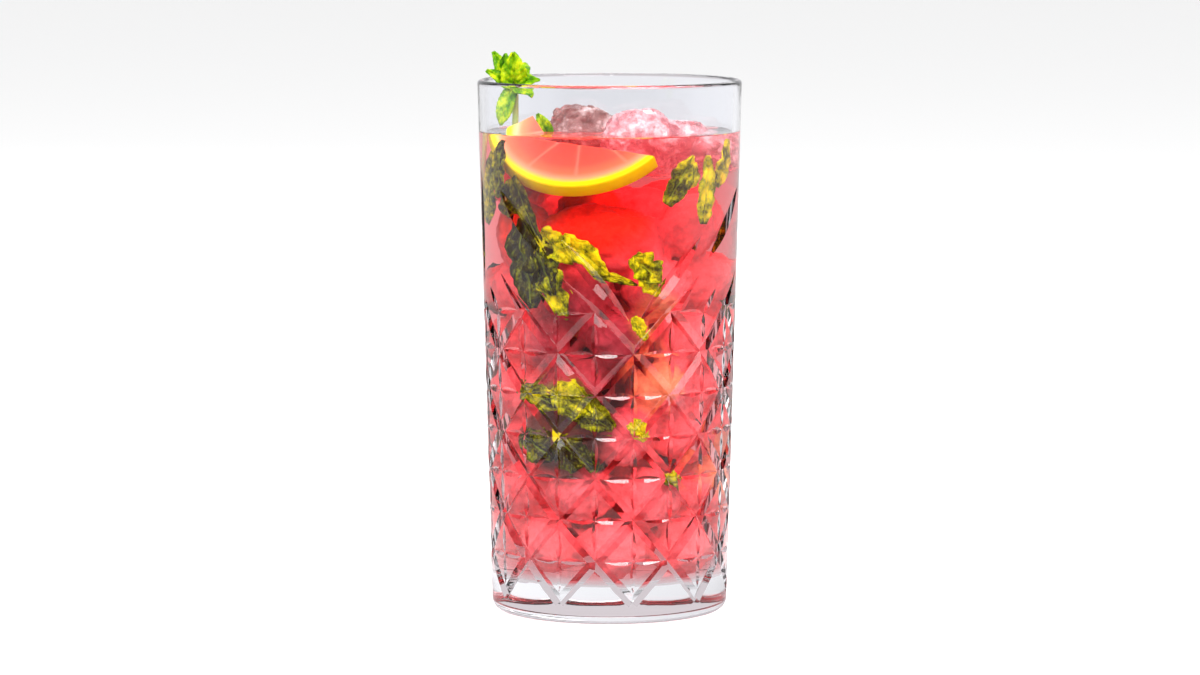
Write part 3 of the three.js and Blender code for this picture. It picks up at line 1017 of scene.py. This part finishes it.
class MOJITO_OT_mint(bpy.types.Operator):
    """Make the sprig of mint over the rim and the leaf in the drink's surface"""

    bl_idname = "mojito.mint"
    bl_label = "Mint"

    def execute(self, context):
        garnish = context.scene.mojito_garnish
        fresh = mint_material("fresh_mint", 0.25, FRESH_SHADES)
        sprig = leaves_object(SPRIG_LEAVES, "mint_sprig_leaves", fresh, garnish.leaf_thickness)
        in_body(sprig, "mint", "mint_sprig")
        stem = tube(STEM_ROUTE, garnish.stem_radius, "mint_sprig_stem", stem_material())
        in_body(stem, "mint", "mint_sprig")
        loose = leaves_object([LOOSE_LEAF], "mint_loose_leaf", fresh, garnish.leaf_thickness)
        in_body(loose, "mint", "mint_leaf")
        return {"FINISHED"}


class MOJITO_OT_sunken(bpy.types.Operator):
    """Make the mint that is sunk in the drink"""

    bl_idname = "mojito.sunken"
    bl_label = "Sunken Mint"

    def execute(self, context):
        garnish = context.scene.mojito_garnish
        leaves = []
        for a1, z1, a2, z2, radius, width, freshness in SUNK_LEAVES:
            inside = min(radius, radius_in((z1 + z2) / 2) - 2)
            face = around((a1 + a2) / 2, 1, 0) + Vector((0, 0, 0.1))
            root, tip = around(a1, inside, z1), around(a2, inside, z2)
            leaves.append((root, tip, width, 0.6, face, freshness))
        material = mint_material("sunken_mint", 0.05, SUNKEN_SHADES)
        piece = leaves_object(leaves, "sunken_leaves", material, garnish.leaf_thickness, 1.0)
        in_body(piece, "mint")
        return {"FINISHED"}


def lemon_material():
    """The lemon by how far from its centre: flesh, pith and rind."""
    material, tree = new_material("lemon")
    layers = ramp(
        tree, painted(tree, "from_centre"),
        [
            (0.0, (1, 0.5, 0.3)), (0.3, (0.95, 0.1, 0.08)), (0.66, (0.95, 0.14, 0.09)),
            (0.8, (1, 0.25, 0.12)), (0.87, (1, 0.45, 0.25)), (0.91, (1, 0.7, 0.15)),
            (0.94, (1, 0.98, 0.0)), (1.0, (0.95, 1, 0.0)),
        ],
    )
    faint_walls = computed(tree, "MULTIPLY", painted(tree, "wall"), 0.45)
    shader = add_node(
        tree, "ShaderNodeBsdfPrincipled", Roughness=0.3, IOR=1.4, Specular_IOR_Level=0.2,
        Subsurface_Weight=0.3, Subsurface_Scale=0.003, Subsurface_Radius=(1, 0.7, 0.2),
        Base_Color=mixed_colour(tree, faint_walls, layers, (1, 0.45, 0.3, 1)),
        Normal=bump(tree, noise_field(tree, 1400, 2), 0.25, 0.0003),
    )
    finish_surface(tree, shader.outputs["BSDF"])
    return material


class MOJITO_OT_lemon(bpy.types.Operator):
    """Make the slice of lemon"""

    bl_idname = "mojito.lemon"
    bl_label = "Lemon Slice"

    def execute(self, context):
        garnish = context.scene.mojito_garnish
        radius, thick = garnish.lemon_radius / MM, garnish.lemon_thickness / MM
        shares = [0.04, 0.1, 0.2, 0.35, 0.5, 0.65, 0.76, 0.81, 0.84, 0.87, 0.91, 0.94]
        round_edge, core, flesh_edge = 0.6, 0.05, 0.83
        front = [(0, 0)] + [(radius * share, 0) for share in shares]
        rim = corner(radius - round_edge, -round_edge, round_edge, 90, 0, 4)
        rim += corner(radius - round_edge, round_edge - thick, round_edge, 0, -90, 4)
        back = [(x, -thick) for x, _ in reversed(front)]
        bm = turned(front + rim + back, 144)
        slice_object = to_object(bm, "lemon", lemon_material(), 40)
        cut_lemon(slice_object)
        bm = bmesh.new()
        bm.from_mesh(slice_object.data)
        bmesh.ops.scale(bm, vec=(1 / MM,) * 3, verts=bm.verts)
        from_centre = bm.verts.layers.float.new("from_centre")
        wall = bm.verts.layers.float.new("wall")
        for vert in bm.verts:
            share = vert.co.xy.length / radius
            angle = math.atan2(vert.co.y, vert.co.x)
            gap = abs(math.sin(LEMON_SEGMENTS / 2 * angle + 0.4))
            on_face = abs(vert.co.z + thick / 2) > thick / 2 - 0.1
            vert[from_centre] = min(share, 1)
            if core < share < flesh_edge:
                vert[wall] = max(0.0, 1 - gap * 9 * max(share, 0.15))
                plump = 0.3 * min(1, 3 * gap) * math.sin(math.pi * share / flesh_edge) ** 0.5
                plump += 0.12 * noise.noise(Vector((share * 14, angle * 9, vert.co.z)))
                if on_face:
                    vert.co.z += plump if vert.co.z > -thick / 2 else -plump
        place = Matrix.Translation(LEMON_CENTRE) @ Matrix.Rotation(LEMON_TURN, 4, "Z")
        place = place @ Matrix.Rotation(LEMON_TILT, 4, "X")
        bmesh.ops.transform(bm, matrix=place, verts=bm.verts)
        bmesh.ops.scale(bm, vec=(MM,) * 3, verts=bm.verts)
        bm.to_mesh(slice_object.data)
        bm.free()
        slice_object.data.set_sharp_from_angle(angle=math.radians(50))
        in_body(slice_object, "lemon", "lemon_slice")
        return {"FINISHED"}


def cut_lemon(piece):
    """Cuts away the upper part of a lying slice, along its cut edge."""
    beyond = 12
    right_end, notch, tip, left_end = (Vector(point) for point in LEMON_CUT)
    right = right_end + (right_end - notch).normalized() * beyond
    left = left_end + (left_end - tip).normalized() * beyond
    far = 60
    outline = [right, notch, tip, left, Vector((left.x, far)), Vector((right.x, far))]
    bm = bmesh.new()
    face = bm.faces.new([bm.verts.new((x, y, -beyond)) for x, y in outline])
    made = bmesh.ops.extrude_face_region(bm, geom=[face])["geom"]
    top = [v for v in made if isinstance(v, bmesh.types.BMVert)]
    bmesh.ops.translate(bm, vec=(0, 0, 2 * beyond), verts=top)
    face_outwards(bm)
    prism = to_object(bm, "lemon_cut")
    cut = piece.modifiers.new("cut", "BOOLEAN")
    cut.operation = "DIFFERENCE"
    cut.object = prism
    cut.solver = "MANIFOLD"
    apply_modifiers(piece)
    bpy.data.objects.remove(prism)


def pale_floor():
    """The matt floor. In the glass's reflections alone it shows painted light: a painted glow close to the
    glass, a painted contact shadow at the glass's foot, and painted darkness far in front.
    """
    material, tree = new_material("pale_floor")
    matt = add_node(
        tree, "ShaderNodeBsdfPrincipled", Base_Color=(0.93, 0.93, 0.93, 1), Roughness=0.9
    )
    place = tree.nodes.new("ShaderNodeTexCoord").outputs["Object"]
    away = add_node(tree, "ShaderNodeVectorMath", operation="LENGTH", Vector=place)
    # Painted contact shadow round the glass's foot, then a painted glow that fades outwards, by the distance
    # from the middle of the glass, in metres
    painted_shadow_and_glow = ramp(
        tree, away.outputs["Value"],
        [
            (0.036, (0.27, 0.245, 0.255)), (0.06, (0.33, 0.31, 0.32)), (0.12, 0.85),
            (0.18, 0.5), (0.3, 0.3),
        ],
    )
    # Painted darkness far in front, by how far back it is, from a metre in front of the glass
    back = computed(tree, "ADD", add_node(tree, "ShaderNodeSeparateXYZ", Vector=place).outputs["Y"], 1)
    front = ramp(tree, back, [(0.4, 0.02), (0.78, 1)])
    # The painted glow: emission that only reflections see
    glow = add_node(
        tree, "ShaderNodeEmission", Strength=2.6, Color=mixed_colour(tree, 1.0, painted_shadow_and_glow, front, "MULTIPLY")
    )
    mirrored = tree.nodes.new("ShaderNodeLightPath").outputs["Is Glossy Ray"]
    mix = mixed_shader(tree, mirrored, matt.outputs["BSDF"], glow.outputs["Emission"])
    finish_surface(tree, mix)
    return material


def studio_world():
    """White to the camera and for soft light, and darker in front for what the glass shows."""
    world = bpy.data.worlds.new("studio")
    bpy.context.scene.world = world
    world.use_nodes = True
    tree = world.node_tree
    tree.nodes.clear()
    direction = tree.nodes.new("ShaderNodeTexCoord").outputs["Generated"]
    way = add_node(tree, "ShaderNodeSeparateXYZ", Vector=direction).outputs
    path = tree.nodes.new("ShaderNodeLightPath").outputs
    # From in front of the glass, 0, to behind it, 1
    depth = mapped(tree, way["Y"], From_Min=-1)
    along = ramp(
        tree, depth,
        [
            (0.0, 0.15), (0.12, 0.2), (0.25, (0.75, 0.75, 0.77)), (0.5, (0.85, 0.85, 0.87)),
            (0.75, (0.95, 0.95, 0.97)), (1.0, (0.9, 0.9, 0.92)),
        ],
    )
    aside = mapped(tree, way["X"], From_Min=-1, To_Min=0.9, To_Max=1.25)
    rise = mapped(tree, way["Z"], From_Min=-0.35, From_Max=-0.12)
    under = ramp(tree, rise, [(0.0, (0.68, 0.65, 0.66)), (1.0, 1)])
    level = mixed_colour(tree, 1.0, along, aside, "MULTIPLY")
    through = mixed_colour(tree, 1.0, level, under, "MULTIPLY")
    plain = computed(tree, "MAXIMUM", path["Is Camera Ray"], path["Diffuse Depth"], clamp=True)
    seen = mixed_colour(tree, plain, through, (1.02, 1.02, 1.02, 1))
    mirrored = ramp(tree, depth, [(0.68, 0.05), (0.92, (0.85, 0.85, 0.88))])
    reflection = computed(
        tree, "SUBTRACT", path["Is Glossy Ray"], path["Is Transmission Ray"], clamp=True
    )
    shown = mixed_colour(tree, reflection, seen, mirrored)
    background = add_node(tree, "ShaderNodeBackground", Strength=1.0, Color=shown)
    output = tree.nodes.new("ShaderNodeOutputWorld")
    tree.links.new(background.outputs["Background"], output.inputs["Surface"])


# The lights: place, width, height, watts, and whether the glass mirrors them
LIGHTS = {
    "left": ((-0.8, -0.8, 1.1), 0.9, 0.9, 11, False),
    "right": ((0.7, -0.75, 1.0), 0.9, 0.9, 5, False),
    "above": ((0.28, -0.75, 1.2), 0.85, 0.35, 14, True),
    "crest": ((0.4, -0.86, 0.88), 0.9, 0.3, 4.5, True),
    "behind": ((0.2, 1.2, 1.0), 1.0, 1.0, 5, True),
}


def place_aimed(holder, place, aim):
    """Puts a light or camera at a place, looking at a point, and shows it in the scene."""
    holder.location = place
    holder.rotation_euler = (Vector(aim) - Vector(place)).to_track_quat("-Z", "Y").to_euler()
    bpy.context.scene.collection.objects.link(holder)


def add_light(name, place, width, height, power, mirrored):
    """A soft oblong light that is aimed at the middle of the glass."""
    light = bpy.data.lights.new(name, "AREA")
    light.shape = "RECTANGLE"
    light.size = width
    light.size_y = height
    light.energy = power
    holder = bpy.data.objects.new(name, light)
    place_aimed(holder, place, (0, 0, 0.08))
    holder.visible_glossy = mirrored


class MOJITO_OT_stage(bpy.types.Operator):
    """Make the floor, the lights and the camera"""

    bl_idname = "mojito.stage"
    bl_label = "Stage"

    def execute(self, context):
        stage = context.scene.mojito_stage
        camera = bpy.data.cameras.new("camera")
        camera.lens = stage.lens
        camera.sensor_width = 36
        camera.clip_end = 200
        holder = bpy.data.objects.new("camera", camera)
        place = (0, -stage.camera_distance, stage.camera_height)
        place_aimed(holder, place, (-0.0027, 0, stage.aim_height))
        context.scene.camera = holder
        bm = bmesh.new()
        bmesh.ops.create_circle(bm, cap_ends=True, segments=96, radius=stage.floor_radius / MM)
        floor = to_object(bm, "floor", pale_floor())
        floor.visible_transmission = False
        floor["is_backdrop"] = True
        studio_world()
        for name, settings in LIGHTS.items():
            add_light(name, *settings)
        context.scene.view_settings.view_transform = "Standard"
        return {"FINISHED"}


class MOJITO_PT_panel(bpy.types.Panel):
    """The steps that make the glass of mojito"""

    bl_label = "Glass of Mojito"
    bl_idname = "MOJITO_PT_panel"
    bl_space_type = "VIEW_3D"
    bl_region_type = "UI"
    bl_category = "Mojito"

    def draw(self, context):
        for operator in OPERATORS:
            self.layout.operator(operator.bl_idname)


OPERATORS = (
    MOJITO_OT_stage,
    MOJITO_OT_glass,
    MOJITO_OT_drink,
    MOJITO_OT_ice,
    MOJITO_OT_lemon,
    MOJITO_OT_mint,
    MOJITO_OT_packed,
    MOJITO_OT_sunken,
)
SETTINGS = {
    "mojito_glass": MOJITO_PG_glass,
    "mojito_drink": MOJITO_PG_drink,
    "mojito_garnish": MOJITO_PG_garnish,
    "mojito_stage": MOJITO_PG_stage,
}


def register():
    for group in SETTINGS.values():
        bpy.utils.register_class(group)
    for name, group in SETTINGS.items():
        setattr(bpy.types.Scene, name, bpy.props.PointerProperty(type=group))
    for cls in (*OPERATORS, MOJITO_PT_panel):
        bpy.utils.register_class(cls)


def unregister():
    for cls in reversed((*OPERATORS, MOJITO_PT_panel)):
        bpy.utils.unregister_class(cls)
    for name in SETTINGS:
        delattr(bpy.types.Scene, name)
    for group in reversed(list(SETTINGS.values())):
        bpy.utils.unregister_class(group)


def main():
    register()
    bpy.ops.mojito.stage()
    bpy.ops.mojito.glass()
    bpy.ops.mojito.drink()
    bpy.ops.mojito.ice()
    bpy.ops.mojito.lemon()
    bpy.ops.mojito.mint()
    bpy.ops.mojito.packed()
    bpy.ops.mojito.sunken()
    boxes = {"cad": CAD_BOX, "visual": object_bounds()}
    plain = {name: [list(map(float, end)) for end in box] for name, box in boxes.items()}


if __name__ == "__main__":
    main()
